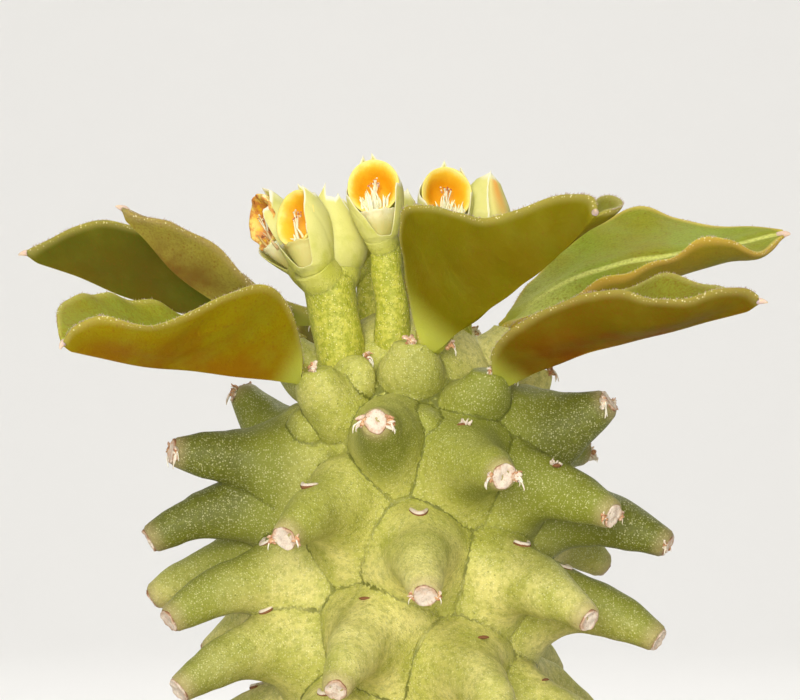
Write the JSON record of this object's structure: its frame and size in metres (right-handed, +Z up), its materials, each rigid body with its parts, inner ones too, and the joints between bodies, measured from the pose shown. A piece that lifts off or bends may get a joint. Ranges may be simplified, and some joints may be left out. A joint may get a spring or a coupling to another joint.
{
  "type": "potted euphorbia neoreflexa",
  "caption": "Potted succulent: a fleshy green stem covered in drooping horn-shaped tubercles, with a crown of folded leaves and yellow cup-shaped flowers, in a plain clay pot.",
  "frame": {"origin": "middle of the pot's underside, on the surface that it stands on", "axes": "+Z up along the stem, -Y towards the viewer of the picture, +X to that viewer's right"},
  "size_m": [0.09, 0.09, 0.153],
  "materials": {
    "clay": "unglazed terracotta, matte, with pale mineral marks",
    "soil": "gritty cactus soil, dry and rough",
    "stem": "fleshy yellow-green skin with fine papillae, satin",
    "leaf": "soft velvety leaf, green above and olive to orange below, satin",
    "bract": "pale green to cream flower bracts and stalks, satin",
    "gland": "orange-yellow gland, smooth and waxy"
  },
  "bodies": {
    "root": {"pot": "clay", "soil": "soil", "stem": "stem", "leaf_front": "leaf", "leaf_front_right": "leaf", "leaf_right": "leaf", "leaf_front_left": "leaf", "leaf_left": "leaf", "leaf_back_left": "leaf", "leaf_back_young": "leaf", "leaf_back_low": "leaf", "cluster_left": "bract", "cluster_middle": "bract", "cluster_right": "bract", "cluster_back": "bract", "cyathium_left_a": "gland", "cyathium_left_b": "gland", "cyathium_left_c": "gland", "cyathium_middle_a": "gland", "cyathium_middle_b": "gland", "cyathium_right_a": "gland", "cyathium_back_a": "gland", "cyathium_back_b": "gland"}
  },
  "joints": []
}
